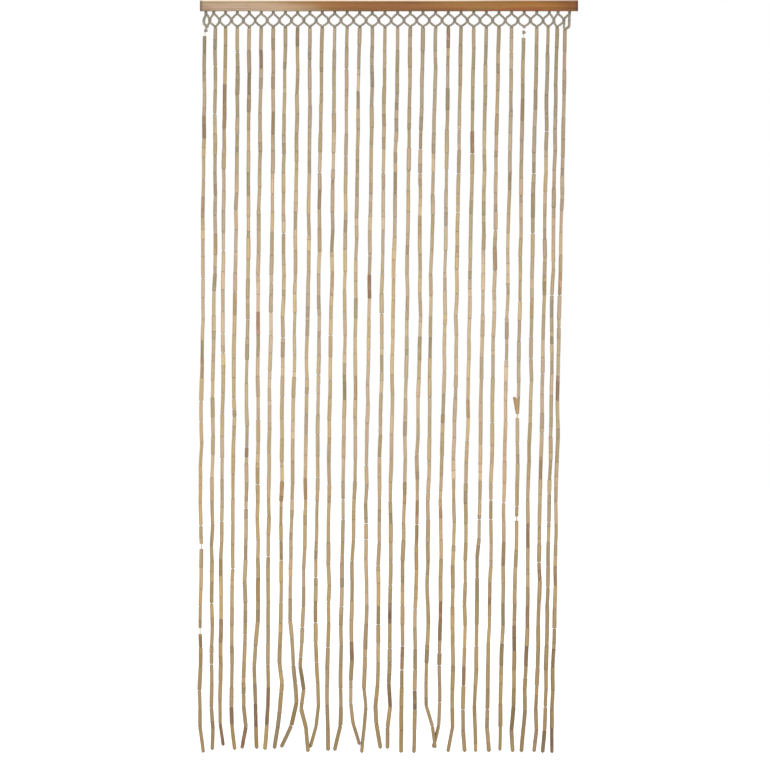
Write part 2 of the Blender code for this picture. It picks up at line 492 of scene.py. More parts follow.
def makeRailWood():
    material, tree, shader = newMaterial("rail wood")
    alongX, _, upZ = partsOf(tree, objectPlace(tree))
    length = railHigh.x - railLow.x
    cloud = noise(tree, (9.0, 60.0, 60.0), 4.0)
    share = mathNode(tree, "DIVIDE", minus(tree, alongX, railLow.x), length)
    waved = mathNode(tree, "ADD", share, times(tree, minus(tree, cloud, 0.5), railWood["cloudShift"]))
    slanted = mathNode(tree, "MULTIPLY_ADD", upZ, railWood["browning"], waved)
    # the colour along the rail is partly the wood's tone and partly a painted reflection that lightens its
    # left part
    base = colourRamp(tree, slanted, screenStops(railWood["alongTheRail"]))
    # darker olive bands run above and below the redder middle of the face
    patches = noise(tree, (11.0, 40.0, 90.0), 3.0)
    patchy = mapRange(tree, patches, 0.34, 0.60, 0.5, 1.0)
    fromBand = mathNode(tree, "ABSOLUTE", minus(tree, upZ, railWood["upperBandAt"]))
    upper = times(tree, mapRange(tree, fromBand, *railWood["upperBandHalf"]), patchy)
    lowerPatchy = times(tree, patchy, mapRange(tree, share, 0.16, 0.36, 0.1, 1.0))
    lower = times(tree, mapRange(tree, upZ, *railWood["lowerBandFrom"]), lowerPatchy)
    upperBanded = mixColour(tree, upper, base, railWood["upperBand"], "MULTIPLY")
    banded = mixColour(tree, lower, upperBanded, railWood["lowerBand"], "MULTIPLY")
    grain = noise(tree, (5.0, 260.0, 260.0), 5.0, 0.6)
    figure = noise(tree, (14.0, 700.0, 700.0), 3.0, 0.6)
    grained = brighten(tree, banded, mapRange(tree, grain, 0.36, 0.68, 1.10, 0.86))
    lined = mixColour(tree, mapRange(tree, figure, 0.50, 0.75, 0.0, 0.30), grained, railWood["deepBrown"])
    blush = noise(tree, (13.0, 90.0, 150.0), 2.0)
    low = mapRange(tree, upZ, -0.002, -0.009)
    redder = times(tree, mapRange(tree, blush, 0.50, 0.66, 0.0, 0.75), low)
    redHalf = times(tree, redder, mapRange(tree, share, 0.50, 0.72))
    blushed = mixColour(tree, redHalf, lined, railWood["reddish"])
    pores = noise(tree, (70.0, 1500.0, 1500.0), 2.0)
    pored = brighten(tree, blushed, mapRange(tree, pores, 0.30, 0.46, 0.82, 1.0))
    # a painted highlight along the rounded top edge, fading out towards the right
    faint, full = (railHigh.z - drop for drop in railWood["stripBelowTop"])
    highlighted = mapRange(tree, upZ, faint, full, 0.0, 0.60)
    fading = mapRange(tree, share, *railWood["stripFades"], 1.0, 0.15)
    edged = mixColour(tree, times(tree, highlighted, fading), pored, railWood["edgeHighlight"])
    # the rail darkens towards each end: painted shade at the rounded ends, and darker end grain on the end
    # faces
    inward = minus(tree, length / 2, mathNode(tree, "ABSOLUTE", alongX))
    ends = mapRange(tree, inward, *railWood["endDark"], railWood["endShade"], 1.0)
    roughness = mapRange(tree, grain, 0.35, 0.70, *railWood["roughness"])
    shader.inputs["Specular IOR Level"].default_value = railWood["specular"]
    relief = mathNode(tree, "ADD", times(tree, figure, 0.6), times(tree, pores, 0.8))
    finishShader(tree, shader, brighten(tree, edged, ends), roughness, relief, 0.35, 0.0003)
    return material


# The rail's cross section, as depths and heights, this much smaller all round
def railOutline(inward):
    front, back = railLow.y + inward, railHigh.y - inward
    bottom, top = railLow.z - headRail["reachesLower"] + inward, railHigh.z - inward
    big, small = headRail["frontTopRound"], headRail["otherRounds"]
    corners = ((front, top, big, 90.0), (front, bottom, small, 180.0))
    corners += ((back, bottom, small, 270.0), (back, top, small, 0.0))
    outline = []
    for depth, height, radius, start in corners:
        middleY = depth + radius * (1 if depth == front else -1)
        middleZ = height - radius * (1 if height == top else -1)
        for k in range(headRail["roundSteps"] + 1):
            turn = math.radians(start + 90.0 * k / headRail["roundSteps"])
            outline.append((middleY + radius * math.cos(turn), middleZ + radius * math.sin(turn)))
    return outline


def makeRail():
    draw = random.Random(headRail["seed"])
    steps = round((railHigh.x - railLow.x) / headRail["lengthStep"])
    ease = headRail["endRound"]
    part = ease * headRail["endRoundPart"]
    stations = [(railLow.x, ease), (railLow.x + part, part), (railLow.x + ease, 0.0)]
    stations += [(railLow.x + (railHigh.x - railLow.x) * k / steps, 0.0) for k in range(1, steps)]
    stations += [(railHigh.x - ease, 0.0), (railHigh.x - part, part), (railHigh.x, ease)]
    form = newForm()
    waves = [(often, draw.uniform(0.0, math.tau)) for often in headRail["waves"]]
    for x, inward in stations:
        sines = [math.sin(often * x + started) for often, started in waves]
        liftY, liftZ = (headRail["waviness"] * (sines[k] + sines[k + 1]) for k in (0, 2))
        form["points"] += [Vector((x, y + liftY, z + liftZ)) for y, z in railOutline(inward)]
    addRingFaces(form, 0, len(stations), len(railOutline(0.0)))
    return makePiece("head_rail", form, [makeRailWood()], "rail", headRail["sharpFrom"])


def cutSockets(rail):
    form = newForm()
    for x in holePlaces:
        line = [inPlane(x, underside + headRail["socketDepth"] * way) for way in (-1, 1)]
        addTube(form, line, [headRail["socketRadius"]] * 2, headRail["socketSides"])
    cutter = newObject("sockets", form)
    cut = rail.modifiers.new("sockets", "BOOLEAN")
    cut.object = cutter
    cut.solver = "EXACT"
    bpy.context.view_layer.update()
    evaluated = rail.evaluated_get(bpy.context.evaluated_depsgraph_get())
    drilled = bpy.data.meshes.new_from_object(evaluated)
    rail.modifiers.clear()
    rail.data = drilled
    smooth(drilled, headRail["sharpFrom"])
    bpy.data.objects.remove(cutter)


cutSockets(makeRail())
print("head rail made")


# Heading: the cords, their crossing knots and the roots.

heading = {
    "thickness": 0.0059,
    "plies": 3,
    "turnLength": 0.0110,
    "sides": 7,
    "step": 0.00095,
    "stemAside": 0.00180,
    "stemDrops": (-0.0042, 0.0015, 0.0050),      # from the seat in the rail down
    "stemSqueeze": 0.68,
    "squeezedDrops": (0.0040, 0.0105),           # how far down the cords are squeezed, and whole again
    "partAside": 0.00216,
    "partDrop": 0.0090,
    "upperBow": ((0.40, 0.35), (0.80, 0.74)),    # shares across and down, stem to knot
    "lowerBow": ((0.29, 0.41), (0.65, 0.77)),
    "arriveAside": 0.0028,
    "arriveAbove": 0.0020,
    "knotReach": 0.0012,
    "knotGrip": 0.0036,
    "knotSqueeze": 0.66,
    "knotClear": (0.0016, 0.0050),               # how far from the knot they are squeezed, and whole again
    "crossApart": 0.0009,
    "rootAside": 0.00096,
    "rootEnd": 0.0024,
    # the outermost cords have no neighbour to cross: places aside of the hole and below the rail,
    # then how far aside of and above the root they arrive
    "leftEdge": ((-0.0014, 0.013), (-0.0040, 0.019), (-0.0046, 0.026), (-0.0032, 0.033)),
    "leftArrive": (-0.0018, 0.0030),
    "rightEdge": ((-0.0002, 0.013), (-0.0006, 0.026), (-0.0014, 0.0375)),
    "rightArrive": (0.0042, 0.0006),
    "edgeThicker": 1.25,
    "edgeThickerDrops": (0.010, 0.018),
    "wander": 0.0005,
    "seed": 11,
}

wraps = {
    "crossing_knots": {"radius": 0.0031, "varies": (0.92, 1.06), "turns": 2.2},
    "root_knots": {"radius": 0.0026, "varies": (0.94, 1.05), "turns": 1.35},
    "thickness": 0.0028,
    "turnLength": 0.0066,
    "plies": 2,
    "sides": 6,
    "rise": 0.0028,
    "tilt": 14.0,
    "steps": 17,                 # for each turn
    "tuckedTo": 0.35,
    "tuckedShare": 0.14,
    "seed": 23,
}

cotton = {
    "taupe": screenColour(121, 113, 100),
    "light": screenColour(154, 145, 129),
    "dark": screenColour(83, 77, 68),
    "roughness": 0.92,
    "sheen": 0.25,
    "sheenRoughness": 0.5,
    "specular": 0.2,
    "sharpFrom": 70.0,
}


def makeCordMaterial():
    material, tree, shader = newMaterial("taupe cotton cord")
    patches = noise(tree, (120.0, 120.0, 120.0), 3.0)
    fibres = noise(tree, (2600.0, 2600.0, 900.0), 2.0)
    base = colourRamp(tree, patches, [(0.30, cotton["taupe"]), (0.75, cotton["light"])])
    dimmed = mixColour(tree, mapRange(tree, fibres, 0.56, 0.36, 0.0, 0.55), base, cotton["dark"])
    shader.inputs["Sheen Weight"].default_value = cotton["sheen"]
    shader.inputs["Sheen Roughness"].default_value = cotton["sheenRoughness"]
    shader.inputs["Specular IOR Level"].default_value = cotton["specular"]
    finishShader(tree, shader, dimmed, cotton["roughness"], fibres, 0.5, 0.0002)
    return material


def makeCordPiece(name, form, material, sharpFrom=cotton["sharpFrom"]):
    makePiece(name, form, [material], "heading_and_strings", sharpFrom)


def between(start, end, bow):
    return [inPlane(mixed(start.x, end.x, across), mixed(start.z, end.z, down)) for across, down in bow]


# Both of a stem's cords start side by side in the socket
def stemPoints(index, side):
    x = holePlaces[index] + side * heading["stemAside"]
    return [inPlane(x, underside - drop) for drop in heading["stemDrops"]]


def rootEnd(root, side):
    return root + Vector((side * heading["rootAside"], 0.0, -heading["rootEnd"]))


# From a stem over the crossing to the neighbour's root. side is 1 to the right and -1 to the left
def crossingCord(index, side):
    knot = knotPlaces[index if side > 0 else index - 1]
    root = rootPlaces[index + side]
    reach = Vector((side * heading["knotReach"], 0.0, -heading["knotGrip"]))
    above, below = knot - reach, knot + reach
    crossing = knot + Vector((0.0, -side * heading["crossApart"], 0.0))
    parting = inPlane(holePlaces[index] + side * heading["partAside"], underside - heading["partDrop"])
    arrive = root + Vector((-side * heading["arriveAside"], 0.0, heading["arriveAbove"]))
    points = [*stemPoints(index, side), parting, *between(parting, above, heading["upperBow"]), above]
    points += [crossing, below, *between(below, arrive, heading["lowerBow"])]
    return [*points, arrive, rootEnd(root, -side)], knot


def edgeCord(index, side, turns, arrive):
    points = stemPoints(index, side)
    points += [inPlane(holePlaces[index] + x, underside - drop) for x, drop in turns]
    root = rootPlaces[index]
    return [*points, root + Vector((arrive[0], 0.0, arrive[1])), rootEnd(root, side)], None


# The cords are thinner where they are squeezed, in the rail's holes and in the knots
def squeezedAt(line, knot):
    thickness = []
    for point in line:
        drop = underside - point.z
        share = mixed(heading["stemSqueeze"], 1.0, eased(drop, *heading["squeezedDrops"]))
        if knot:
            clear = eased((point - knot).length, *heading["knotClear"])
            share = min(share, mixed(heading["knotSqueeze"], 1.0, clear))
        else:
            share *= mixed(1.0, heading["edgeThicker"], eased(drop, *heading["edgeThickerDrops"]))
        thickness.append(heading["thickness"] * share)
    return thickness


def makeHeadingCords(material):
    draw = random.Random(heading["seed"])
    routes = [crossingCord(index, 1) for index in range(stringCount - 1)]
    routes += [crossingCord(index, -1) for index in range(1, stringCount)]
    routes.append(edgeCord(0, -1, heading["leftEdge"], heading["leftArrive"]))
    routes.append(edgeCord(stringCount - 1, 1, heading["rightEdge"], heading["rightArrive"]))
    form = newForm()
    for points, knot in routes:
        for point in points[3:-2]:
            point.x += draw.uniform(-1.0, 1.0) * heading["wander"]
            point.y += draw.uniform(-1.0, 1.0) * heading["wander"]
        line = smoothLine(points, heading["step"])
        addPliedCord(form, line, squeezedAt(line, knot), heading["turnLength"], heading["plies"],
                     heading["sides"], draw.uniform(0.0, math.tau))
    makeCordPiece("heading_cords", form, material)


# Turns of cord round an upright axis, the ends tucked inwards
def wrapLine(middle, radius, turns, draw):
    count = round(turns * wraps["steps"])
    tilt = Matrix.Rotation(math.radians(draw.uniform(-1.0, 1.0) * wraps["tilt"]), 3, "Y")
    started = draw.uniform(0.0, math.tau)
    line = []
    for k in range(count + 1):
        share = k / count
        tucked = min(1.0, share / wraps["tuckedShare"], (1.0 - share) / wraps["tuckedShare"])
        out = radius * mixed(wraps["tuckedTo"], 1.0, math.sin(tucked * math.pi / 2))
        turn = started + math.tau * turns * share
        place = Vector((out * math.cos(turn), out * math.sin(turn), wraps["rise"] * turns * (0.5 - share)))
        line.append(middle + tilt @ place)
    return line


def makeKnots(material):
    draw = random.Random(wraps["seed"])
    for name, places in (("crossing_knots", knotPlaces), ("root_knots", rootPlaces)):
        kind = wraps[name]
        form = newForm()
        for place in places:
            line = wrapLine(place, kind["radius"] * draw.uniform(*kind["varies"]), kind["turns"], draw)
            thickness = [wraps["thickness"]] * len(line)
            addPliedCord(form, line, thickness, wraps["turnLength"], wraps["plies"], wraps["sides"])
        makeCordPiece(name, form, material)


cordMaterial = makeCordMaterial()
makeHeadingCords(cordMaterial)
makeKnots(cordMaterial)
print("heading made")


# Strings of bamboo tube beads.

bead = {
    "usualLength": 0.0488,
    "lengthSpread": 0.20,
    "radius": 0.00450,
    "radiusSpread": 0.00027,
    "smallest": 0.0038,
    "largest": 0.0051,
    # from this height down to that one beads get stouter by this share
    "stouterBelow": (-1.25, -1.62, 0.07),
    "taper": 0.05,
    "oval": 0.035,
    "bendVaries": (0.2, 1.0),    # share of the oval and of the bow that a bead has
    "bore": 0.0022,
    "chamfer": 0.00055,
    "edge": 0.0030,
    "bow": 0.00045,
    "sides": 14,
    "nodeShare": 0.45,           # of the beads have a node ring
    "nodeSwell": 0.00042,
    "nodeVaries": (0.5, 1.2),
    "nodeFrom": (0.2, 0.8),      # shares of the bead that it lies between
    "nodeNeeds": 0.025,          # shorter beads have none
    "nodeClear": 0.004,
    # offsets from the ring's middle, and the share of the swell there
    "nodeRing": ((-0.0016, 0.0), (-0.0005, 1.0), (0.0004, 0.75), (0.0015, -0.15)),
    "unevenAt": (0.28, 0.5, 0.72),
    "uneven": 0.012,
    "stubShare": 0.05,           # of the places hold two short beads
    "stubFrom": (0.35, 0.65),
    "stubGapHalf": 0.0005,
    "jointAside": 0.0007,
    "wander": (0.0005, 0.0012),  # how far a string's joints wander aside, at the top and low down
    "wanderDrops": (0.20, 0.80),
    "wanderKept": 0.75,          # how much of it the next joint keeps
    "crossingRadius": 0.00425,   # the most for beads in front of or behind a neighbour,
    "crossingFrom": 0.0032,      # which hang this far out of the curtain's plane
    # kinds of gap: their shares higher up and at the hem, and their least and most
    "gapKinds": (
        (0.70, 0.50, 0.00004, 0.00025),
        (0.22, 0.35, 0.00050, 0.00100),
        (0.08, 0.15, 0.00110, 0.00200),
    ),
    "hemGaps": (0.9, 1.65),      # metres below the rail's middle over which the gaps change
    "endKnotRoom": 0.0004,
    "tipLower": 0.0045,          # the last bead hangs this much lower than the plain strand
    "sharpFrom": 38.0,
    "seed": 100,                 # and the string's number
    "wanderSeed": 300,
}

# Gaps that the cord shows in, for each string, counted from the left from 0: the height of the gap's top
# and bottom, and where the bead above it starts if that is known
openGaps = {
    0: ((-1.2816, -1.2940, None), (-1.4820, -1.4965, None)),
    26: ((-0.9718, -0.9827, -0.9320), (-1.2160, -1.2270, None)),
}

# Tones of the skin, as places on its colour ramp
tan, oliveTan, pinkTan, greyTan, yellowTan = 0.00, 0.14, 0.28, 0.42, 0.56
golden, olive, brown, redBrown, darkBrown = 0.66, 0.76, 0.84, 0.92, 1.00

# Beads of a colour of their own, for each string: a height that lies in the bead, tone and shade
markedBeads = {
    0: ((-0.080, olive, 0.35), (-0.277, brown, 0.45), (-0.480, brown, 0.60)),
    2: ((-1.735, redBrown, 0.85), (-0.199, brown, 0.30), (-0.253, brown, 0.80), (-0.365, tan, 0.40),
        (-1.461, brown, 0.70)),
    3: ((-1.684, brown, 0.42),),
    4: ((-1.745, redBrown, 0.75), (-0.215, tan, 0.35), (-0.275, tan, 0.45)),
    5: ((-1.696, redBrown, 0.22), (-0.751, redBrown, 0.95)),
    6: ((-1.651, redBrown, 0.60), (-1.694, brown, 0.45)),
    9: ((-1.168, brown, 0.95),),
    11: ((-0.690, brown, 0.95), (-0.427, brown, 0.95)),
    12: ((-0.620, oliveTan, 0.95), (-1.745, oliveTan, 0.45)),
    13: ((-1.549, redBrown, 0.75), (-0.740, olive, 0.45), (-0.600, greyTan, 0.25)),
    14: ((-0.675, 0.96, 0.55), (-0.630, greyTan, 0.40)),
    15: ((-0.620, oliveTan, 0.50), (-0.670, oliveTan, 0.55), (-0.720, oliveTan, 0.50),
         (-1.039, olive, 0.70)),
    16: ((-1.425, darkBrown, 0.75), (-1.646, brown, 0.35)),
    17: ((-1.558, brown, 0.70),),
    20: ((-1.463, redBrown, 0.45), (-1.755, tan, 0.45), (-0.244, olive, 0.50)),
    22: ((-1.575, brown, 0.75), (-1.620, brown, 0.60)),
    23: ((-1.385, olive, 0.30),),
    24: ((-1.385, brown, 0.75), (-1.184, olive, 0.50)),
    25: ((-1.560, olive, 0.30),),
    26: ((-1.535, brown, 0.25), (-1.735, greyTan, 0.50), (-0.258, brown, 0.65)),
    27: ((-1.237, redBrown, 0.35), (-1.480, redBrown, 0.95), (-1.567, redBrown, 0.20),
         (-0.470, olive, 0.35)),
    28: ((-1.111, brown, 0.90), (-1.339, brown, 0.75)),
    29: ((-1.758, olive, 0.10),),
    30: ((-1.535, brown, 0.10), (-1.758, redBrown, 0.15), (-0.642, brown, 0.95), (-1.346, brown, 0.75)),
}

splitBead = {
    "string": 26,
    "height": -0.950,
    "topWidth": 0.0176,          # its split top is spread this wide
    "footWidth": 0.008323,
    "wall": 0.0011,
    "radius": 0.0041,
    "rightEdge": 0.0042,         # its right edge hangs straight, this far aside of the string
    "notchDepth": 0.0040,
    "notchHalf": 0.14,
    "notchPlace": 0.56,          # share of the way round
    "rows": 16,
    "columns": 24,
    "look": (golden, 0.6, 0.0),
}

bamboo = {
    "tones": (
        (tan, (161, 141, 109)),
        (oliveTan, (153, 139, 105)),
        (pinkTan, (167, 146, 123)),
        (greyTan, (154, 140, 117)),
        (yellowTan, (162, 143, 106)),
        (golden, (143, 118, 80)),
        (olive, (133, 121, 88)),
        (brown, (131, 107, 79)),
        (redBrown, (128, 98, 75)),
        (darkBrown, (101, 76, 57)),
    ),
    "pink": screenColour(168, 142, 124),
    "olive": screenColour(143, 132, 97),
    "nodeBrown": screenColour(88, 66, 46),
    "cut": screenColour(172, 146, 108),
    "kindShares": (0.86, 0.12, 0.02),    # of pale, golden and brown beads
    "freshTone": 0.5,                    # share of beads whose tone is drawn anew
    "toneDrift": 0.05,
    "shades": (0.80, 1.17),
    "shadeUsual": 0.5,
    "shadeSpread": 0.21,
    "darkerFrom": (26, 0.22),    # this string and those right of it are darker, by this much of the shades
    # the strings are browner at the top and darker at the hem: shares of their height from the hem up,
    # and what is left there of the colour
    "upTheStrings": (
        (0.000, (0.64, 0.54, 0.35, 1.0)),
        (0.075, (0.74, 0.64, 0.43, 1.0)),
        (0.160, (0.81, 0.72, 0.54, 1.0)),
        (0.240, (0.86, 0.77, 0.61, 1.0)),
        (0.360, (0.93, 0.85, 0.71, 1.0)),
        (0.500, (1.01, 0.97, 0.90, 1.0)),
        (0.640, (1.01, 0.96, 0.89, 1.0)),
        (0.780, (0.89, 0.85, 0.78, 1.0)),
        (0.880, (0.77, 0.75, 0.70, 1.0)),
        (0.960, (0.70, 0.68, 0.62, 1.0)),
    ),
    "lowest": -1.75,
    "highest": -0.05,
    "roughness": (0.40, 0.58),
}


def makeBambooSkin():
    material, tree, shader = newMaterial("bamboo skin")
    tone, shade, shift = partsOf(tree, attributePlace(tree, "beadLook"))
    along, length, nodeAt = partsOf(tree, attributePlace(tree, "beadRun"))
    # moves the pattern, so that no two beads have the same
    moves = {0: times(tree, tone, 37.0), 1: times(tree, shade, 53.0)}
    apart = newNode(tree, "ShaderNodeCombineXYZ", moves).outputs[0]
    base = colourRamp(tree, tone, screenStops(bamboo["tones"]))
    streaks = noise(tree, (420.0, 420.0, 11.0), 4.0, 0.6, apart)
    fibres = noise(tree, (2400.0, 2400.0, 40.0), 2.0, shift=apart)
    blotch = noise(tree, (90.0, 90.0, 34.0), 2.0, shift=apart)
    pinked = mixColour(tree, mapRange(tree, blotch, 0.52, 0.74, 0.0, 0.6), base, bamboo["pink"])
    greened = mixColour(tree, mapRange(tree, blotch, 0.46, 0.26, 0.0, 0.6), pinked, bamboo["olive"])
    streaked = brighten(tree, greened, mapRange(tree, streaks, 0.30, 0.70, 0.88, 1.16))
    fibred = brighten(tree, streaked, mapRange(tree, fibres, 0.35, 0.60, 0.94, 1.04))
    height = partsOf(tree, objectPlace(tree))[2]
    up = mapRange(tree, height, bamboo["lowest"], bamboo["highest"], 0.0, 1.0, "LINEAR")
    # the colour is browner towards the top of the strings and darker towards the hem
    heightToned = mixColour(tree, 1.0, fibred, colourRamp(tree, up, bamboo["upTheStrings"]), "MULTIPLY")
    shaded = brighten(tree, heightToned, mapRange(tree, shade, 0.0, 1.0, *bamboo["shades"], "LINEAR"))
    # past a node ring the skin is a little lighter or darker, and the ring itself is brown
    past = minus(tree, along, nodeAt)
    hasNode = mathNode(tree, "GREATER_THAN", nodeAt, 0.0)
    beyond = times(tree, mapRange(tree, past, -0.0006, 0.0008), hasNode)
    change = mathNode(tree, "MULTIPLY_ADD", times(tree, beyond, shift), 0.22, 1.0)
    twoToned = brighten(tree, shaded, change)
    ring = times(tree, mapRange(tree, mathNode(tree, "ABSOLUTE", past), 0.0013, 0.0004), hasNode)
    plainRing = mapRange(tree, mathNode(tree, "ABSOLUTE", shift), 0.2, 1.0, 0.10, 0.55)
    ringed = mixColour(tree, times(tree, ring, plainRing), twoToned, bamboo["nodeBrown"])
    # the skin darkens towards each end of a bead
    fromEnd = mathNode(tree, "MINIMUM", along, minus(tree, length, along))
    endDarkening = mapRange(tree, fromEnd, 0.0022, 0.0002, 0.0, 0.28)
    colour = mixColour(tree, endDarkening, ringed, bamboo["nodeBrown"])
    roughness = mapRange(tree, streaks, 0.3, 0.7, *bamboo["roughness"])
    relief = mathNode(tree, "ADD", streaks, times(tree, fibres, 0.5))
    finishShader(tree, shader, colour, roughness, relief, 0.35, 0.00025)
    return material


def makeCutBamboo():
    material, tree, shader = newMaterial("cut bamboo")
    fibres = noise(tree, (2200.0, 2200.0, 300.0), 3.0)
    colour = brighten(tree, bamboo["cut"][:3], mapRange(tree, fibres, 0.3, 0.65, 0.72, 1.08))
    finishShader(tree, shader, colour, 0.8, fibres, 0.4, 0.0002)
    return material


# No string hangs quite straight: its joints wander to the sides, each near the one above
def wander(joints, draw):
    least, most = bead["wander"]
    kept = bead["wanderKept"]
    aside = 0.0
    for joint in joints[1:-1]:
        reach = mixed(least, most, eased(-joint.z, *bead["wanderDrops"]))
        aside = aside * kept + draw.gauss(0.0, reach) * math.sqrt(1.0 - kept ** 2)
        joint.x += aside


# Where each bead of a string starts and ends, with gaps between them
def beadRuns(index, line, draw):
    line = [*line[:-1], line[-1] + (line[-1] - line[-2]).normalized() * bead["tipLower"]]
    openings = openGaps.get(index, ())
    joints = [line[0]]
    for start, end in zip(line, line[1:]):
        count = max(1, round((end - start).length / bead["usualLength"]))
        weights = [1.0 + draw.uniform(-1.0, 1.0) * bead["lengthSpread"] for k in range(count)]
        done = 0.0
        for k, weight in enumerate(weights):
            done += weight
            place = start.lerp(end, done / sum(weights))
            if k < count - 1:
                aside = Vector((draw.uniform(-1, 1), draw.uniform(-1, 1), 0.0))
                place += aside * bead["jointAside"]
            joints.append(place)
    wander(joints, random.Random(bead["wanderSeed"] + index))
    gaps = []
    for joint in joints[1:-1]:
        towardsHem = eased(-joint.z, *bead["hemGaps"])
        shares = [mixed(kind[0], kind[1], towardsHem) for kind in bead["gapKinds"]]
        least, most = draw.choices(bead["gapKinds"], shares)[0][2:]
        gaps.append(draw.uniform(least, most))
    for top, bottom, beadTop in openings:
        middle = (top + bottom) / 2
        nearest = min(range(1, len(joints) - 1), key=lambda k: abs(joints[k].z - middle))
        joints[nearest].z = middle
        gaps[nearest - 1] = top - bottom
        if beadTop:
            joints[nearest - 1].z = beadTop
            gaps[nearest - 2] = bead["gapKinds"][0][3]
    gaps = [0.0, *gaps, bead["endKnotRoom"] * 2]
    runs = []
    for k, (top, bottom) in enumerate(zip(joints, joints[1:])):
        down = (bottom - top).normalized()
        start = top + down * gaps[k] / 2
        end = bottom - down * gaps[k + 1] / 2
        if draw.random() < bead["stubShare"] and 0 < k < len(joints) - 2 and not openings:
            split = start.lerp(end, draw.uniform(*bead["stubFrom"]))
            apart = down * bead["stubGapHalf"]
            runs += [(start, split - apart), (split + apart, end)]
        else:
            runs.append((start, end))
    return runs


# Places down a bead's outside, and half its width there
def beadProfile(length, radius, nodeAt, draw):
    lower = radius * (1.0 + draw.uniform(-1.0, 1.0) * bead["taper"])
    chamfer, edge = bead["chamfer"], bead["edge"]

    def half(at):
        return radius + (lower - radius) * at / length

    inner = [at * length for at in bead["unevenAt"] if abs(at * length - nodeAt) > bead["nodeClear"]]
    uneven = bead["uneven"]
    rows = [(0.0, radius - chamfer), (chamfer, radius), (edge, half(edge))]
    rows += [(at, half(at) * (1.0 + draw.uniform(-uneven, uneven))) for at in inner]
    if nodeAt > 0.0:
        swell = bead["nodeSwell"] * draw.uniform(*bead["nodeVaries"])
        rows += [(nodeAt + offset, half(nodeAt) + swell * share) for offset, share in bead["nodeRing"]]
    rows += [(length - edge, half(length - edge)), (length - chamfer, lower), (length, lower - chamfer)]
    return sorted(rows)


def addBead(form, start, end, look, draw):
    length = (end - start).length
    high, low, gain = bead["stouterBelow"]
    stouter = 1.0 + gain * eased(-end.z, -high, -low)
    radius = draw.gauss(bead["radius"], bead["radiusSpread"]) * stouter
    radius = min(bead["largest"], max(bead["smallest"], radius))
    if abs(end.y - hangPlane) > bead["crossingFrom"]:
        radius = min(radius, bead["crossingRadius"])
    nodeAt = -1.0
    if draw.random() < bead["nodeShare"] and length > bead["nodeNeeds"]:
        nodeAt = length * draw.uniform(*bead["nodeFrom"])
    rows = beadProfile(length, radius, nodeAt, draw)
    down = (end - start).normalized()
    side = down.orthogonal().normalized()
    across = down.cross(side)
    bowTurn = draw.uniform(0.0, math.tau)
    bow = around(side, across, bowTurn) * draw.uniform(*bead["bendVaries"]) * bead["bow"]
    ovalTurn = draw.uniform(0.0, math.tau)
    oval = draw.uniform(*bead["bendVaries"]) * bead["oval"]
    sides = bead["sides"]
    first = len(form["points"])
    bore = bead["bore"]
    for at, half in [*rows, (length, bore), (0.0, bore)]:
        middle = start + down * at + bow * math.sin(math.pi * at / length)
        for k in range(sides):
            turn = math.tau * k / sides
            reach = half * (1.0 + (oval * math.cos(2 * turn + ovalTurn) if half > bore else 0.0))
            form["points"].append(middle + around(side, across, turn) * reach)
            form["looks"] += look
            form["runs"] += (at, length, nodeAt)
    rings = len(rows) + 2
    for ring in range(rings):
        here = first + ring * sides
        following = first + (ring + 1) % rings * sides
        for k in range(sides):
            beside = (k + 1) % sides
            form["faces"].append((here + k, here + beside, following + beside, following + k))
        form["slots"] += [int(ring >= len(rows) - 1)] * sides


# A few beads on end are often of one cane, so their tone stays near was, the tone of the bead before
def beadLook(index, start, end, was, draw):
    kinds = (draw.uniform(tan, yellowTan), draw.uniform(golden, brown), draw.uniform(brown, redBrown))
    tone = draw.choices(kinds, bamboo["kindShares"])[0]
    if draw.random() >= bamboo["freshTone"]:
        drift = draw.uniform(-1.0, 1.0) * bamboo["toneDrift"]
        tone = min(yellowTan, max(tan, was + drift))
    firstDarker, darker = bamboo["darkerFrom"]
    usual = bamboo["shadeUsual"] - (darker if index >= firstDarker else 0.0)
    shade = min(1.0, max(0.0, draw.gauss(usual, bamboo["shadeSpread"])))
    for height, markedTone, markedShade in markedBeads.get(index, ()):
        if end.z < height < start.z:
            tone, shade = markedTone, markedShade
    return (tone, shade, draw.uniform(-1.0, 1.0))


# A bead that has split and opened out at its top, as one bent wall
def addSplitBead(form, start, end, look):
    rows, columns = splitBead["rows"], splitBead["columns"]
    length = (start - end).length
    girth = math.tau * splitBead["radius"]
    first = len(form["points"])
    for inward in (0.0, splitBead["wall"]):
        for row in range(rows + 1):
            share = row / rows
            width = mixed(splitBead["topWidth"], splitBead["footWidth"], share)
            angle = 2 * girth / width
            radius = girth / angle
            half = radius * (math.sin(angle / 2) if angle < math.pi else 1.0)
            aside = Vector((splitBead["rightEdge"] - half, radius - splitBead["radius"], 0.0))
            middle = start.lerp(end, share) + aside
            for column in range(columns + 1):
                turn = math.radians(-90.0) + angle * (column / columns - 0.5)
                out = Vector((math.cos(turn), math.sin(turn), 0.0)) * (radius - inward)
                fromNotch = abs(column / columns - splitBead["notchPlace"]) / splitBead["notchHalf"]
                notch = splitBead["notchDepth"] * max(0.0, 1.0 - fromNotch) * (1.0 - share) ** 3
                form["points"].append(middle + out - Vector((0.0, 0.0, notch)))
                form["looks"] += look
                form["runs"] += (share * length, length, -1.0)
    wide = columns + 1
    inner = (rows + 1) * wide
    for row in range(rows):
        for column in range(columns):
            a = first + row * wide + column
            form["faces"].append((a, a + wide, a + wide + 1, a + 1))
            form["faces"].append((a + inner, a + inner + 1, a + inner + wide + 1, a + inner + wide))
            form["slots"] += [0, 1]
    # the wall's narrow faces: its two sides, then its top and foot
    sideFace, endFace = (0, inner, inner + wide, wide), (0, 1, inner + 1, inner)
    narrow = [(row * wide + column, sideFace, column) for row in range(rows) for column in (0, columns)]
    narrow += [(row * wide + column, endFace, row) for column in range(columns) for row in (0, rows)]
    for corner, face, flipped in narrow:
        quad = tuple(first + corner + offset for offset in face)
        form["faces"].append(quad[::-1] if flipped else quad)
        form["slots"].append(1)


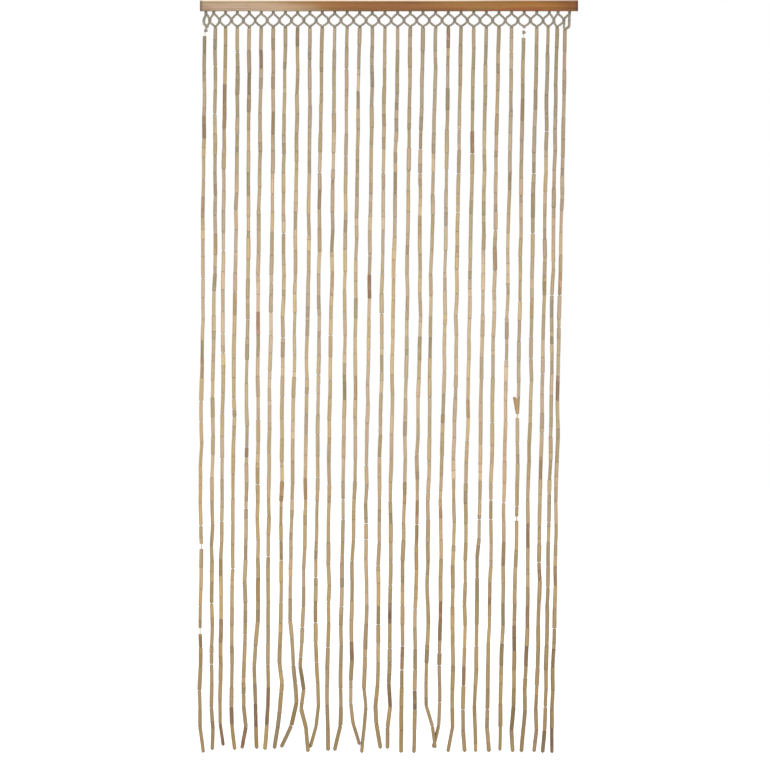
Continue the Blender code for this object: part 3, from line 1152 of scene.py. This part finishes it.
def makeStrings():
    skin, cut = makeBambooSkin(), makeCutBamboo()
    allRuns = []
    for index, line in enumerate(stringLines):
        draw = random.Random(bead["seed"] + index)
        form = {**newForm(), "looks": [], "runs": []}
        runs = beadRuns(index, line, draw)
        tone = draw.uniform(tan, yellowTan)
        for start, end in runs:
            look = beadLook(index, start, end, tone, draw)
            tone = look[0]
            if splitBead["string"] == index and end.z < splitBead["height"] < start.z:
                addSplitBead(form, start, end, splitBead["look"])
            else:
                addBead(form, start, end, look, draw)
        name = f"string_{index + 1:02d}_beads"
        piece = makePiece(name, form, [skin, cut], "heading_and_strings", bead["sharpFrom"])
        for attribute, numbers in (("beadLook", form["looks"]), ("beadRun", form["runs"])):
            made = piece.data.attributes.new(attribute, "FLOAT_VECTOR", "POINT")
            made.data.foreach_set("vector", numbers)
        allRuns.append(runs)
    return allRuns


beadPlaces = makeStrings()
print("strings made:", sum(len(runs) for runs in beadPlaces), "beads")


# The cord inside the strings and the knots on it.

core = {
    "thickness": 0.0026,
    "thickerIn": (26, 0.0042),   # string, and its cord's thickness
    "bareThickness": 0.0018,     # where it shows between a root knot and its first bead
    "sides": 8,
    "endKnotSize": 0.0020,
    "endKnotCord": 0.00100,
    "bigEndKnot": (0, 1.6),      # this string's end knot is bigger, by this much
    "neckKnotSize": 0.0042,
    "neckKnotCord": 0.0017,
    "neckKnots": {0: 0.42, 26: 0.52},    # string, and the share of the way from its root to its first bead
    # the string whose heading cords run on down to its neck knot
    "greyNeck": {"string": 0, "thickness": 0.0054, "turnLength": 0.0090, "plies": 2},
    "knotSteps": 30,
    "knotSides": 7,
    "knotFlat": 1.1,             # out of the plane, against a width of knotWide
    "knotWide": 3.6,
    "sharpFrom": 60.0,
    "seed": 47,
    "pale": screenColour(204, 186, 166),
    "soiled": screenColour(160, 142, 122),
}


def makeInnerCordMaterial():
    material, tree, shader = newMaterial("pale inner cord")
    fibres = noise(tree, (1800.0, 1800.0, 500.0), 3.0)
    colour = colourRamp(tree, fibres, [(0.35, core["soiled"]), (0.62, core["pale"])])
    finishShader(tree, shader, colour, 0.9, fibres, 0.4, 0.0002)
    return material


# An overhand knot pulled tight, lying in the curtain's plane
def overhandLine(middle, size, turned):
    turnRound = Matrix.Rotation(turned, 3, "Y")
    line = []
    for k in range(core["knotSteps"] + 1):
        t = math.tau * k / core["knotSteps"]
        x, z = math.sin(t) + 2 * math.sin(2 * t), math.cos(t) - 2 * math.cos(2 * t)
        place = Vector((x, -core["knotFlat"] * math.sin(3 * t), z))
        line.append(middle + turnRound @ place * (size / core["knotWide"]))
    return line


def makeInnerCords():
    draw = random.Random(core["seed"])
    cords, knots = newForm(), newForm()
    sides = core["knotSides"]
    for index, (root, runs) in enumerate(zip(rootPlaces, beadPlaces)):
        stops = [root] + [place for run in runs for place in run]
        tip = stops[-1] + (stops[-1] - stops[-2]).normalized() * bead["endKnotRoom"] * 0.5
        bare = index in core["neckKnots"]
        thickString, thicker = core["thickerIn"]
        radii = [(thicker if index == thickString else core["thickness"]) / 2] * (len(stops) + 1)
        if bare:
            radii[:2] = [core["bareThickness"] / 2] * 2
        addTube(cords, [*stops, tip], radii, core["sides"])
        bigString, bigger = core["bigEndKnot"]
        size = core["endKnotSize"] * draw.uniform(0.9, 1.15) * (bigger if index == bigString else 1.0)
        line = overhandLine(tip, size, draw.uniform(0.0, math.tau))
        thick = core["endKnotCord"] * size / core["endKnotSize"]
        addTube(knots, line, [thick] * len(line), sides)
        if bare:
            middle = root.lerp(stops[1], core["neckKnots"][index])
            line = overhandLine(middle, core["neckKnotSize"], draw.uniform(0.0, math.tau))
            addTube(knots, line, [core["neckKnotCord"]] * len(line), sides)
            grey = core["greyNeck"]
            if index == grey["string"]:
                line = smoothLine([root, middle], heading["step"])
                thickness = [grey["thickness"]] * len(line)
                addPliedCord(knots, line, thickness, grey["turnLength"], grey["plies"], sides)
    makeCordPiece("inner_cords", cords, makeInnerCordMaterial(), core["sharpFrom"])
    makeCordPiece("end_knots", knots, cordMaterial)


makeInnerCords()
print("inner cords and end knots made")
